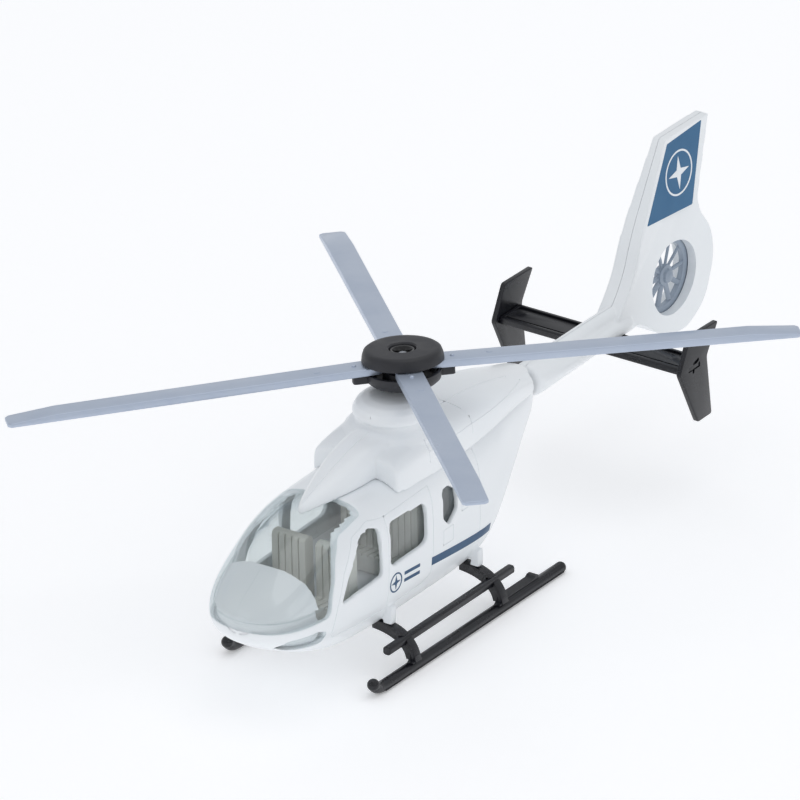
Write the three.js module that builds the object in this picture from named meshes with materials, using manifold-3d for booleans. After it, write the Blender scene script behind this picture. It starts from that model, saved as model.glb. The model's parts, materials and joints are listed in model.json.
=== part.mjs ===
// Helicopter scale model: a moulded pod with clear glazing, a shrouded tail fan, skid gear and a four-blade rotor.
// Millimetres, +Z up, nose towards -Y, port side towards +X. It stands on its skids at Z = 0.
// Y is counted from the rotor mast; the last group shifts the model so that its origin is under its middle.

import * as THREE from 'three';
import { mergeVertices } from 'three/addons/utils/BufferGeometryUtils.js';
import Module from 'manifold-3d';

const wasm = await Module();
wasm.setup();

// ---- driving dimensions ----
const wall = 1.4; // wall of the moulded shells
const glassThickness = 0.9;
const gap = 0.15; // clearance between pieces that are fitted together
const looseGap = 0.3; // clearance between pieces of the leaning rotor head

const ringPoints = 24; // points round one section of the pod
const podSteps = 6; // sections along the pod

const rotorRadius = 102;
const rotorHub = new THREE.Vector3(0, 0, 68.1); // middle of the blade plane
const rotorAxis = new THREE.Vector3(-0.0965, 0.0563, 1).normalize(); // the head leans on its loose rivet
const bladePivotRadius = 8;
const bladeChord = 6.8;
const bladeThickness = 2;
const bladeTaperLength = 13;
const bladePinRadius = 1.1;

const boomAxisZ = 40.8;
const boomRootRadius = 5.1;
const boomTipRadius = 4.7;
const ductCentre = new THREE.Vector2(119, 45.1); // (Y, Z)
const ductRadius = 9.9;
const fanRingRadius = 10.6;
const fanRingWidth = 1.6;
const fanSpokes = 10;
const finHalfThickness = 3.5;
const finTopHalfThickness = 1.9;

const stabiliserZ = 38.5;
const stabiliserThickness = 2;
const stabiliserFrontY = 85;
const stabiliserRearY = 94.5;
const endPlateX = 28;
const endPlateThickness = 1.4;

const skidX = 22;
const skidRadius = 1.5;
const skidAxisZ = 1.4; // a little less than the radius, so the skid stands on a narrow flat
const skidFrontY = -44;
const skidRearY = 38.5;
const legY = [-28.5, 11]; // front and rear leg
const legThickness = 1.4;
const stepX = 19.6;
const stepZ = 8.2;
const stepRadius = 1.2;

const bellyZ = 8;

// The pod, nose to tail: Y, half width, bottom Z, top Z, squareness of the section.
const podStations = [
  [-75.2, 2.6, 23.0, 28.0, 2.0],
  [-74.4, 6.2, 21.2, 29.6, 2.1],
  [-73, 9.2, 19.7, 31.0, 2.2],
  [-70, 12.3, 17.8, 33.0, 2.4],
  [-65, 14.4, 15.6, 36.0, 2.6],
  [-60, 15.3, 13.0, 38.9, 2.9],
  [-52, 15.9, 9.8, 43.4, 3.2],
  [-44, 16, 8.3, 46.4, 3.6],
  [-30, 16, bellyZ, 46.8, 4.0],
  [0, 16, bellyZ, 46.8, 4.0],
  [15, 15.5, 8.5, 46.6, 3.8],
  [24, 13.6, 11.6, 46.3, 3.1],
  [32, 10.9, 15.9, 46.1, 2.8],
  [40, 8.4, 21.6, 46, 2.6],
  [47, 6.6, 29.3, 45.9, 2.4],
  [54, 5.2, 35.6, 45.9, 2.2],
];

// The engine cowling on the roof, front to rear, in the same terms.
const cowlingStations = [
  [-22, 12.6, 40, 51.6, 4.5],
  [-14, 13.4, 40, 53.4, 4.0],
  [0, 13.7, 40, 54.2, 3.6],
  [14, 13.2, 40, 54.2, 3.3],
  [26, 11.6, 40, 53.2, 2.9],
  [38, 9, 40, 50.8, 2.6],
  [48, 6.8, 39, 47.9, 2.3],
  [56, 5.5, 38, 46.3, 2.2],
];

// The keel that runs down from the cowling to the top of the windscreen.
const keelStations = [
  [-46.7, 0.5, 44, 47, 1.8],
  [-42, 2.9, 43, 48.7, 1.8],
  [-36, 4.4, 42, 50.3, 1.8],
  [-30, 5.8, 42, 52.6, 2.7],
  [-24, 6.2, 42, 54.2, 3.4],
  [-8, 6.6, 42, 56, 3.6],
];

// ---- materials ----
function finish(color, roughness, metalness = 0, opacity = 1) {
  return new THREE.MeshStandardMaterial({ color, roughness, metalness, opacity, transparent: opacity < 1 });
}
const whitePaint = finish(0xf4f6f9, 0.35);
const blackPlastic = finish(0x2b2d36, 0.4);
const hubPlastic = finish(0x35353b, 0.6);
const bladePlastic = finish(0xb9c4d6, 0.4);
const fanPlastic = finish(0x9aa6b4, 0.4);
const clearPlastic = finish(0xe8f0f4, 0.05, 0, 0.35);
const greyPlastic = finish(0xc9cbd0, 0.5);
const seatPlastic = finish(0xa9a9a3, 0.6);
const steel = finish(0xb8bcc2, 0.3, 1);

// ---- solids ----
function solid(geometry) {
  const bare = geometry.clone();
  bare.deleteAttribute('normal');
  bare.deleteAttribute('uv');
  const merged = mergeVertices(bare, 1e-4);
  const corners = merged.index.array;
  const triangles = [];
  for (let i = 0; i < corners.length; i += 3) {
    const [a, b, c] = [corners[i], corners[i + 1], corners[i + 2]];
    if (a !== b && b !== c && c !== a) triangles.push(a, b, c);
  }
  const vertProperties = new Float32Array(merged.attributes.position.array);
  return new wasm.Manifold(new wasm.Mesh({ numProp: 3, vertProperties, triVerts: new Uint32Array(triangles) }));
}

function geometryOf(manifold) {
  const mesh = manifold.getMesh();
  const geometry = new THREE.BufferGeometry();
  geometry.setAttribute('position', new THREE.BufferAttribute(mesh.vertProperties, 3));
  geometry.setIndex(new THREE.BufferAttribute(mesh.triVerts, 1));
  geometry.computeVertexNormals();
  return geometry;
}

function join(first, ...others) {
  return others.reduce((whole, piece) => whole.add(piece), first);
}

function cut(first, ...tools) {
  return tools.reduce((rest, tool) => rest.subtract(tool), first);
}

function box(low, high) {
  const geometry = new THREE.BoxGeometry(high[0] - low[0], high[1] - low[1], high[2] - low[2]);
  geometry.translate((low[0] + high[0]) / 2, (low[1] + high[1]) / 2, (low[2] + high[2]) / 2);
  return solid(geometry);
}

function revolve(profile, sides) {
  const points = profile.map(([r, z]) => new THREE.Vector2(r, z));
  const geometry = new THREE.LatheGeometry(points, sides);
  geometry.rotateX(Math.PI / 2);
  return geometry;
}

// A closed ring profile, such as a washer with a bore.
function revolveRing(profile, sides) {
  return revolve([...profile, profile[0]], sides);
}

function cylinderZ(radius, bottom, top, sides = 20) {
  return revolve([[0, bottom], [radius, bottom], [radius, top], [0, top]], sides);
}

function cylinderX(radius, left, right, y, z, sides = 20) {
  const geometry = cylinderZ(radius, left, right, sides);
  geometry.rotateY(Math.PI / 2);
  geometry.translate(0, y, z);
  return geometry;
}

function cylinderY(radius, front, rear, x, z, sides = 16) {
  const geometry = cylinderZ(radius, -rear, -front, sides);
  geometry.rotateX(Math.PI / 2);
  geometry.translate(x, 0, z);
  return geometry;
}

function outline(points, corner) {
  const shape = new THREE.Shape();
  const corners = points.map(([a, b]) => new THREE.Vector2(a, b));
  corners.forEach((point, i) => {
    const before = corners.at(i - 1);
    const after = corners[(i + 1) % corners.length];
    const inward = before.clone().sub(point).setLength(corner).add(point);
    const outward = after.clone().sub(point).setLength(corner).add(point);
    if (i === 0) shape.moveTo(inward.x, inward.y);
    else shape.lineTo(inward.x, inward.y);
    shape.quadraticCurveTo(point.x, point.y, outward.x, outward.y);
  });
  shape.closePath();
  return shape;
}

// A plate standing fore and aft: its outline is in (Y, Z), and it is as thick as from low X to high X.
function plateX(shape, low, high, bevel = 0, curveSegments = 3) {
  const geometry = new THREE.ExtrudeGeometry(shape, {
    depth: high - low - 2 * bevel,
    bevelEnabled: bevel > 0,
    bevelThickness: bevel,
    bevelSize: bevel,
    bevelOffset: -bevel,
    bevelSegments: 2,
    curveSegments,
  });
  geometry.translate(0, 0, low + bevel);
  const standing = new THREE.Matrix4().makeBasis(
    new THREE.Vector3(0, 1, 0),
    new THREE.Vector3(0, 0, 1),
    new THREE.Vector3(1, 0, 0),
  );
  return geometry.applyMatrix4(standing);
}

// A plate standing across: its outline is in (X, Z), and its middle is at Y.
function plateY(shape, y, thickness, curveSegments = 8) {
  const geometry = new THREE.ExtrudeGeometry(shape, { depth: thickness, bevelEnabled: false, curveSegments });
  geometry.rotateX(Math.PI / 2);
  return geometry.translate(0, y + thickness / 2, 0);
}

// A smooth body through stations, its sections rounded squares; "inset" shrinks it all round.
function loft(stations, steps, inset = 0) {
  const kept = stations.filter(([, halfWidth]) => halfWidth - inset > 0.4);
  const ys = kept.map(([y]) => y);
  const values = kept.flatMap(([, halfWidth, bottom, top, square]) => [
    halfWidth - inset, bottom + inset, top - inset, square,
  ]);
  const between = new THREE.CubicInterpolant(ys, values, 4);
  const positions = [];
  const [front, rear] = [ys[0], ys.at(-1)];
  const sectionYs = ys.concat(
    Array.from({ length: steps }, (_, i) => THREE.MathUtils.lerp(front, rear, (i + 0.5) / steps)),
  ).sort((a, b) => a - b).filter((y, i, all) => i === 0 || y - all[i - 1] > 1);
  for (const y of sectionYs) {
    const [halfWidth, bottom, top, square] = between.evaluate(y);
    for (let i = 0; i < ringPoints; i++) {
      const turn = (i / ringPoints) * 2 * Math.PI;
      const across = Math.sign(Math.cos(turn)) * Math.abs(Math.cos(turn)) ** (2 / square);
      const up = Math.sign(Math.sin(turn)) * Math.abs(Math.sin(turn)) ** (2 / square);
      positions.push(across * halfWidth, y, (top + bottom) / 2 + (up * (top - bottom)) / 2);
    }
  }
  const index = [];
  const rings = sectionYs.length;
  for (let ring = 0; ring < rings - 1; ring++) {
    for (let i = 0; i < ringPoints; i++) {
      const a = ring * ringPoints + i;
      const b = ring * ringPoints + ((i + 1) % ringPoints);
      index.push(a, a + ringPoints, b, b, a + ringPoints, b + ringPoints);
    }
  }
  for (let i = 1; i < ringPoints - 1; i++) {
    const last = (rings - 1) * ringPoints;
    index.push(0, i, i + 1, last, last + i + 1, last + i);
  }
  const geometry = new THREE.BufferGeometry();
  geometry.setAttribute('position', new THREE.Float32BufferAttribute(positions, 3));
  geometry.setIndex(index);
  return solid(geometry);
}

const model = new THREE.Group();

function add(name, shape, material, group = model) {
  const geometry = shape.isBufferGeometry ? shape : geometryOf(shape);
  const mesh = new THREE.Mesh(geometry, material);
  mesh.name = name;
  group.add(mesh);
  return mesh;
}

// ---- pod: cabin shell, belly pan, glazing ----
const podOuter = loft(podStations, podSteps);
const podInner = loft([...podStations.slice(0, -1), [56, 5.2, 35.6, 45.9, 2.2]], podSteps, wall);
const podWall = cut(podOuter, podInner);

const bellySplitZ = 12;
const bellyFrontY = -54;
const bellyRearY = 24;
const glassEdge = [[-80, 24.5], [-55.7, 24.5], [-55.4, 30], [-51.6, 39], [-46.2, 43.2], [-37, 45.4], [-36.6, 50],
  [-80, 50]];
const windscreenZone = solid(plateX(outline(glassEdge, 1.5), -20, 20));
const grownEdge = glassEdge.map(([y, z]) => [y + gap, z - gap]);
const windscreenHole = solid(plateX(outline(grownEdge, 1.5), -20, 20));

const frontDoorWindow = outline([[-49.2, 25.2], [-32.6, 26], [-33.2, 39.4], [-39.6, 39.4]], 1.6);
const slidingDoorWindow = outline([[-29, 27.2], [-12.6, 27.8], [-12.8, 38.8], [-29, 39.4]], 1.8);
const rearWindow = outline([[-5.2, 31], [-2.6, 28.4], [1.2, 31.4], [1.2, 36.6], [-2, 39], [-5.2, 38.6]], 0.8);
const sideWindows = [frontDoorWindow, slidingDoorWindow, rearWindow].map((shape) => solid(plateX(shape, -20, 20)));

const chinEdge = [[-70.4, 19.6], [-66, 17.4], [-58, 17.6], [-56.8, 20.4], [-60, 21.6], [-69, 21.8]];
const [chinMiddleY, chinMiddleZ] = [-63, 19.6];
const chinZone = (grow) => chinEdge.map(([y, z]) =>
  [y + grow * Math.sign(y - chinMiddleY), z + grow * Math.sign(z - chinMiddleZ)]);
const chinSide = { left: [4, 20], right: [-20, -4] };
const chinHoles = Object.values(chinSide).map(([low, high]) =>
  solid(plateX(outline(chinZone(gap), 0.9), low - gap, high + gap)));

const bellyZone = box([-20, bellyFrontY, 0], [20, bellyRearY, bellySplitZ]);
const bellyHole = box([-20, bellyFrontY - gap, 0], [20, bellyRearY + gap, bellySplitZ + gap]);
add('cabin_shell', cut(podWall, windscreenHole, bellyHole, ...sideWindows, ...chinHoles), whitePaint);

const glassWall = cut(podOuter, loft(podStations, podSteps, glassThickness));
add('windscreen', glassWall.intersect(windscreenZone), clearPlastic);
for (const [side, [low, high]] of Object.entries(chinSide)) {
  const zone = solid(plateX(outline(chinZone(0), 0.9), low, high));
  add(`chin_window_${side}`, glassWall.intersect(zone), clearPlastic);
}

const glazingOuter = loft(podStations, podSteps, wall + gap);
const glazingInner = loft(podStations, podSteps, wall + gap + glassThickness);
const glazing = cut(glazingOuter, glazingInner);
add('side_glazing_left', glazing.intersect(box([2, -50, 23.6], [20, 3, 41])), clearPlastic);
add('side_glazing_right', glazing.intersect(box([-20, -50, 23.6], [-2, 3, 41])), clearPlastic);

// ---- legs, with the sockets and screws that hold them to the belly ----
const legWidth = 3.4;
const legRootX = 10;
const legRootZ = 11.8;
const legFootZ = skidAxisZ + skidRadius + gap;
const legOuter = skidX + legWidth / 2;
function legShape(side, grow) {
  const shape = new THREE.Shape();
  const inner = legOuter - legWidth;
  shape.moveTo(side * (legRootX - grow), legRootZ + grow);
  shape.quadraticCurveTo(side * (legOuter + grow - 1.5), legRootZ + grow, side * (legOuter + grow), legFootZ);
  shape.lineTo(side * (inner - grow), legFootZ);
  shape.quadraticCurveTo(side * (inner - 1.2 - grow), legRootZ - legWidth - grow, side * (legRootX - grow),
    legRootZ - legWidth + 0.6 - grow);
  shape.closePath();
  return shape;
}

function screw(y) {
  const headZ = bellyZ - 0.2;
  const geometry = revolve([[0, headZ], [1.5, headZ], [1.9, headZ + 0.4], [1.9, headZ + 0.9], [1, headZ + 1],
    [1, headZ + 3.4], [0, headZ + 4.2]], 16);
  return geometry.translate(0, y, 0);
}
const screwY = { front: -40, rear: 2 };
const screwHoles = Object.values(screwY).map((y) => {
  const head = cylinderZ(1.9 + gap, bellyZ - 4, bellyZ + 1, 16);
  const shank = cylinderZ(1 + gap, bellyZ - 4, bellyZ + 7, 16);
  return join(solid(head.translate(0, y, 0)), solid(shank.translate(0, y, 0)));
});
const legSockets = legY.flatMap((y) => [1, -1].map((side) =>
  solid(plateY(legShape(side, gap), y, legThickness + 2 * gap))));
const pan = cut(podOuter, loft(podStations, podSteps, wall + 0.6)).intersect(bellyZone);
add('belly_pan', cut(pan, ...legSockets, ...screwHoles), whitePaint);
for (const [place, y] of Object.entries(screwY)) add(`belly_screw_${place}`, screw(y), steel);

const stepHoles = [1, -1].map((side) => solid(cylinderY(stepRadius + gap, -60, 60, side * stepX, stepZ)));
['front', 'rear'].forEach((place, i) => {
  [['left', 1], ['right', -1]].forEach(([name, side]) => {
    const leg = solid(plateY(legShape(side, 0), legY[i], legThickness));
    add(`${place}_leg_${name}`, cut(leg, ...stepHoles), blackPlastic);
  });
});

// ---- skids and step bars ----
const skidBallY = -46.6;
const skidBallZ = 3.4;
function skid(side) {
  const x = side * skidX;
  const tube = solid(cylinderY(skidRadius, skidFrontY, skidRearY, x, skidAxisZ, 12));
  const rearEnd = solid(new THREE.SphereGeometry(skidRadius, 12, 6).translate(x, skidRearY, skidAxisZ));
  const nose = new THREE.QuadraticBezierCurve3(
    new THREE.Vector3(x, skidFrontY + 1, skidAxisZ),
    new THREE.Vector3(x, skidFrontY - 1.4, skidAxisZ),
    new THREE.Vector3(x, skidBallY, skidBallZ),
  );
  const round = new THREE.Shape().absarc(0, 0, skidRadius, 0, 2 * Math.PI);
  const bend = new THREE.ExtrudeGeometry(round, { steps: 3, extrudePath: nose, curveSegments: 6 });
  const ball = new THREE.SphereGeometry(skidRadius + 0.1, 12, 8).translate(x, skidBallY, skidBallZ);
  const blockFront = legY[1] + legThickness + 0.6;
  const inside = side * (skidX - 2.4);
  const outside = side * (skidX + 0.4);
  const block = box([Math.min(inside, outside), blockFront, 0.6], [Math.max(inside, outside), blockFront + 15, 3.6]);
  const below = box([-30, -60, -5], [30, 60, 0]);
  return cut(join(tube, rearEnd, solid(bend), solid(ball), block), below);
}
for (const [name, side] of [['left', 1], ['right', -1]]) {
  add(`skid_${name}`, skid(side), blackPlastic);
  add(`step_bar_${name}`, cylinderY(stepRadius, -37, 19.6, side * stepX, stepZ), blackPlastic);
}

// ---- inside of the cabin ----
const cabinRoom = loft(podStations, podSteps, wall + 2 * gap + glassThickness);
const floorTopZ = 15.2;
const dashEdge = [[-76, 22], [-64, 17], [-58, 16.6], [-58.6, 25], [-61.5, 33], [-62.6, 38], [-76, 38]];
add('dash_cover', cabinRoom.intersect(solid(plateX(outline(dashEdge, 1), -14, 14))), greyPlastic);
add('cabin_floor', cabinRoom.intersect(box([-13, -57, 13.6], [13, 12, floorTopZ])), greyPlastic);

const frontSeatProfile = [[-47, 17.4], [-47, 21.4], [-40.6, 20.6], [-41.4, 35.4], [-38.6, 35.4], [-37.6, 15.5], [-46, 15.5]];
const benchProfile = frontSeatProfile.map(([y, z]) => [y + 31, z]);
add('front_seat_left', plateX(outline(frontSeatProfile, 0.8), 1.6, 11.6, 0, 2), seatPlastic);
add('front_seat_right', plateX(outline(frontSeatProfile, 0.8), -11.6, -1.6, 0, 2), seatPlastic);
add('rear_bench', plateX(outline(benchProfile, 0.8), -11.6, 11.6, 0, 2), seatPlastic);
add('rear_bulkhead', cabinRoom.intersect(box([-14, 5, floorTopZ + gap], [14, 6.4, 45])), greyPlastic);

// ---- engine cowling with the mast fairing ----
const fairingCentreY = -3.5;
const fairingStretch = 1.12;
const fairingProfile = [[0, 50], [13.6, 50], [13.3, 52.8], [12.3, 54], [11.2, 55.2], [10.5, 56.6], [10.2, 57.8],
  [10.7, 58], [10.6, 58.9], [9.7, 60.2], [8.2, 61], [6.4, 61.5], [0, 61.6]];
function fairing(inset) {
  const profile = fairingProfile.map(([r, z]) => [Math.max(r - inset, 0), z - (z > 50 ? inset : 0)]);
  return solid(revolve(profile, 24).scale(1, fairingStretch, 1).translate(0, fairingCentreY, 0));
}
const cowlingOuter = join(loft(cowlingStations, 4), loft(keelStations, 2), fairing(0));
const cowlingStart = [[-22 + wall, 11.2, 38, 51.6, 4.5], ...cowlingStations.slice(1, -1)];
const cowlingInner = join(loft(cowlingStart, 4, wall), fairing(wall));
const rivetRadius = 1.3;
const mastPost = solid(cylinderZ(4, 47.2, 61.5));
const mastBore = solid(cylinderZ(rivetRadius + gap, 40, 70));
const podRelief = loft(podStations, podSteps, -gap);
const boomRelief = box([-10, 50, 30], [10, 60, 46.15]);
add('engine_cowling', cut(join(cut(cowlingOuter, cowlingInner), mastPost), podRelief, boomRelief, mastBore), whitePaint);

// ---- tail: boom and fin in two halves, split down the middle ----
const boomStations = [
  [54.3, boomRootRadius, boomAxisZ - boomRootRadius, boomAxisZ + boomRootRadius, 2],
  [62, boomRootRadius, boomAxisZ - boomRootRadius, boomAxisZ + boomRootRadius, 2],
  [90, boomTipRadius, boomAxisZ - boomTipRadius, boomAxisZ + boomTipRadius, 2],
  [100, 4.2, boomAxisZ - 4.2, boomAxisZ + 5, 2.1],
  [112, finHalfThickness, boomAxisZ - 4, boomAxisZ + 6, 2.4],
];
const spigot = cylinderY(boomRootRadius - wall - gap - 0.3, 46, 55, 0, boomAxisZ, 20);
const boomHollow = cylinderY(2.4, 40, 98, 0, boomAxisZ, 16);

const finEdge = [[93, 43], [100, 51], [104.4, 62.4], [117, 84.2], [136.7, 83.8], [129.6, 61], [136.2, 52],
  [137.6, 44], [133, 33], [124.6, 28.4], [114, 30.6], [106, 36.6]];
const finGeometry = plateX(outline(finEdge, 2), -finHalfThickness, finHalfThickness, 1, 3);
const finCorners = finGeometry.attributes.position;
for (let i = 0; i < finCorners.count; i++) {
  const rise = THREE.MathUtils.clamp((finCorners.getZ(i) - 58) / (84 - 58), 0, 1);
  finCorners.setX(i, finCorners.getX(i) * THREE.MathUtils.lerp(1, finTopHalfThickness / finHalfThickness, rise));
}
const duct = solid(cylinderX(ductRadius, -10, 10, ductCentre.x, ductCentre.y, 32));
const fanGroove = solid(cylinderX(fanRingRadius + 0.25, -fanRingWidth / 2 - 0.25, fanRingWidth / 2 + 0.25,
  ductCentre.x, ductCentre.y, 32));
const stabiliserSlot = box(
  [-10, stabiliserFrontY - gap, stabiliserZ - stabiliserThickness / 2 - gap],
  [10, stabiliserRearY + gap, stabiliserZ + stabiliserThickness / 2 + gap],
);
const tail = cut(join(loft(boomStations, 2), solid(spigot), solid(finGeometry)), solid(boomHollow), duct, fanGroove,
  stabiliserSlot);
add('tail_half_left', tail.intersect(box([gap / 2, 40, 0], [20, 150, 100])), whitePaint);
add('tail_half_right', tail.intersect(box([-20, 40, 0], [-gap / 2, 150, 100])), whitePaint);

// ---- shrouded fan, held by its rim in the groove between the tail halves ----
const halfRing = fanRingWidth / 2;
const rim = solid(revolveRing([[8.7, -halfRing], [fanRingRadius, -halfRing], [fanRingRadius, halfRing],
  [8.7, halfRing]], 32));
const hub = solid(revolve([[0, -1.6], [2.2, -1.2], [2.7, 0], [2.2, 1.4], [1.2, 2.1], [0, 2.3]], 20));
const spokes = Array.from({ length: fanSpokes }, (_, i) => {
  const spoke = new THREE.BoxGeometry(7.4, 1.5, 0.6);
  spoke.rotateX(0.5);
  spoke.translate(5.5, 0, 0);
  return solid(spoke.rotateZ(((i + 0.5) / fanSpokes) * 2 * Math.PI));
});
const fan = geometryOf(join(rim, hub, ...spokes));
add('tail_fan', fan, fanPlastic).position.set(0, ductCentre.x, ductCentre.y);
model.getObjectByName('tail_fan').rotation.y = Math.PI / 2;

// ---- stabiliser and its end plates ----
const plateInnerX = endPlateX - endPlateThickness / 2;
const tenonHalf = 2.5;
const tenonMiddleY = (stabiliserFrontY + stabiliserRearY) / 2;
const barSection = outline([
  [stabiliserFrontY, stabiliserZ - stabiliserThickness / 2],
  [stabiliserRearY, stabiliserZ - stabiliserThickness / 2],
  [stabiliserRearY, stabiliserZ + stabiliserThickness / 2],
  [stabiliserFrontY, stabiliserZ + stabiliserThickness / 2],
], 0.5);
const bar = solid(plateX(barSection, -plateInnerX + gap, plateInnerX - gap));
const tenonReach = endPlateX + endPlateThickness / 2 - 0.2;
const tenon = box([-tenonReach, tenonMiddleY - tenonHalf, stabiliserZ - 0.6],
  [tenonReach, tenonMiddleY + tenonHalf, stabiliserZ + 0.6]);
add('stabiliser', join(bar, tenon), blackPlastic);
const endPlateEdge = [[83.3, 38.5], [87.9, 47.6], [100.7, 47.3], [95.6, 39.5], [97.9, 22.4], [91.5, 22.3]];
const tenonSlot = box([-40, tenonMiddleY - tenonHalf - gap, stabiliserZ - 0.6 - gap],
  [40, tenonMiddleY + tenonHalf + gap, stabiliserZ + 0.6 + gap]);
for (const [name, low] of [['left', plateInnerX], ['right', -plateInnerX - endPlateThickness]]) {
  const plate = solid(plateX(outline(endPlateEdge, 0.7), low, low + endPlateThickness, 0.2));
  add(`end_plate_${name}`, cut(plate, tenonSlot), blackPlastic);
}

// ---- main rotor: the rivet stands upright, and the head leans on it ----
const dishBottom = -4.6;
const capTop = 4.5;
const clampFace = bladeThickness / 2 + looseGap; // the dish's top face and the cap's bottom face
const headBore = 2.1;
const recessFloor = 2.6;
const rivetHeadZ = rotorHub.z + recessFloor + 0.5;
add('rotor_rivet', revolve([[0, 52], [rivetRadius, 52], [rivetRadius, rivetHeadZ], [2.7, rivetHeadZ],
  [2.7, rivetHeadZ + 0.4], [1.8, rivetHeadZ + 1], [0, rivetHeadZ + 1.25]], 20), steel);

const head = new THREE.Group();
head.position.copy(rotorHub);
head.quaternion.setFromUnitVectors(new THREE.Vector3(0, 0, 1), rotorAxis);
model.add(head);

const blades = [
  { name: 'front_left', azimuth: -46, droop: 0.3 },
  { name: 'front_right', azimuth: -135, droop: 1.8 },
  { name: 'rear_right', azimuth: 134, droop: 0.3 },
  { name: 'rear_left', azimuth: 45, droop: 1.8 },
].map((blade) => ({ ...blade, turn: THREE.MathUtils.degToRad(blade.azimuth) }));
const pinEnd = 3;
const pinAt = (turn, radius) => {
  const pin = cylinderZ(radius, -pinEnd, pinEnd, 12);
  return pin.translate(bladePivotRadius * Math.cos(turn), bladePivotRadius * Math.sin(turn), 0);
};
const pinHoles = blades.map(({ turn }) => solid(pinAt(turn, bladePinRadius + gap).scale(1, 1, 1.06)));

const dish = solid(revolveRing([[headBore, dishBottom], [6.6, dishBottom], [9, -3.4], [9.6, -2.2], [9.6, -clampFace],
  [headBore, -clampFace]], 28));
const tabs = [45, -135].map((azimuth) => {
  const tab = new THREE.BoxGeometry(5.5, 3.2, 1.3).translate(10.4, 0, -2.4);
  return solid(tab.rotateZ(THREE.MathUtils.degToRad(azimuth)));
});
add('rotor_dish', cut(join(dish, ...tabs), ...pinHoles), hubPlastic, head);
const cap = solid(revolveRing([[headBore, clampFace], [10.35, clampFace], [10.2, 3.2], [9.6, 4.1], [8.6, capTop],
  [3.9, capTop], [3.4, capTop - 0.5], [3.4, recessFloor], [headBore, recessFloor]], 28));
add('rotor_cap', cut(cap, ...pinHoles), hubPlastic, head);

const bladeLength = rotorRadius - bladePivotRadius;
const bladeShape = new THREE.Shape();
bladeShape.absarc(0, 0, bladeChord / 2, Math.PI / 2, (3 * Math.PI) / 2);
bladeShape.lineTo(bladeLength - 1, -bladeChord / 2);
bladeShape.quadraticCurveTo(bladeLength, -bladeChord / 2, bladeLength, -bladeChord / 2 + 1);
bladeShape.lineTo(bladeLength, bladeChord / 2 - 1);
bladeShape.quadraticCurveTo(bladeLength, bladeChord / 2, bladeLength - 1, bladeChord / 2);
bladeShape.closePath();
const bladeBevel = 0.35;
const bladeBar = new THREE.ExtrudeGeometry(bladeShape, {
  depth: bladeThickness - 2 * bladeBevel,
  bevelThickness: bladeBevel,
  bevelSize: bladeBevel,
  bevelOffset: -bladeBevel,
  bevelSegments: 1,
  curveSegments: 5,
}).translate(0, 0, -bladeThickness / 2 + bladeBevel);
const tipThickness = 1;
const taper = new THREE.Shape([
  new THREE.Vector2(bladeLength - bladeTaperLength, bladeThickness / 2 + 0.01),
  new THREE.Vector2(bladeLength + 1, -bladeThickness / 2 + tipThickness),
  new THREE.Vector2(bladeLength + 1, 3),
  new THREE.Vector2(bladeLength - bladeTaperLength, 3),
]);
const pinBore = solid(cylinderZ(bladePinRadius + gap, -3, 3, 12));
const bladeSolid = cut(solid(bladeBar), solid(plateY(taper, 0, 12)), pinBore);
for (const { name, turn, droop } of blades) {
  const blade = add(`rotor_blade_${name}`, bladeSolid, bladePlastic, head);
  blade.position.set(bladePivotRadius * Math.cos(turn), bladePivotRadius * Math.sin(turn), 0);
  blade.rotation.set(0, THREE.MathUtils.degToRad(droop), turn, 'ZYX');
  add(`blade_pin_${name}`, pinAt(turn, bladePinRadius), steel, head);
}

// The origin is on the ground under the middle of the model's length.
const noseY = podStations[0][0];
const finRearY = Math.max(...finEdge.map(([y]) => y));
model.position.set(0, -(noseY + finRearY) / 2, 0);

export default model;
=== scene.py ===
import json
import math

import bpy
import bmesh
from mathutils import Matrix, Vector


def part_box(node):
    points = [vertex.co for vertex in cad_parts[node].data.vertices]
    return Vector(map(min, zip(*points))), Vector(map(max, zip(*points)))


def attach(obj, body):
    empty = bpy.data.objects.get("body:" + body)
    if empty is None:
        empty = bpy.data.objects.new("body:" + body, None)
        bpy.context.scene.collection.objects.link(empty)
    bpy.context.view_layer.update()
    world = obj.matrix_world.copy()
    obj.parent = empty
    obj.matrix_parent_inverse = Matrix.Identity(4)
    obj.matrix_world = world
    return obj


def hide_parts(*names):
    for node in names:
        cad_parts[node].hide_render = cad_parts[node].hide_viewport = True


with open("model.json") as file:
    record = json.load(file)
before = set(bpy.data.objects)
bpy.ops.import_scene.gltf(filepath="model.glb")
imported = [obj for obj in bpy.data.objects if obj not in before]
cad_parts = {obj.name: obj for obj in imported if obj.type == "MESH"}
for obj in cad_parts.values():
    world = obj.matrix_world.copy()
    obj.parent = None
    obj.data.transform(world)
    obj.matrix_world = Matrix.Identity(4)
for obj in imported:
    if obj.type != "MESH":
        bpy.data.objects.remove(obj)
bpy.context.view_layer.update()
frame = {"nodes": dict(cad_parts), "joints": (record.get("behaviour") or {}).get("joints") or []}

# ---- the place, the camera and the light ----
# The model stands on a plain pale table, seen from ahead on its port side with a long lens.
# Sizes are millimetres counted from the foot of the rotor mast, which stands on the table under the rotor.
mm = 0.001
joints = {joint["name"]: joint for joint in frame["joints"]}
mast_y = joints["rotor_spin"]["pos_m"][1]


def place(x, y, z):
    return Vector((x * mm, mast_y + y * mm, z * mm))


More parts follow.
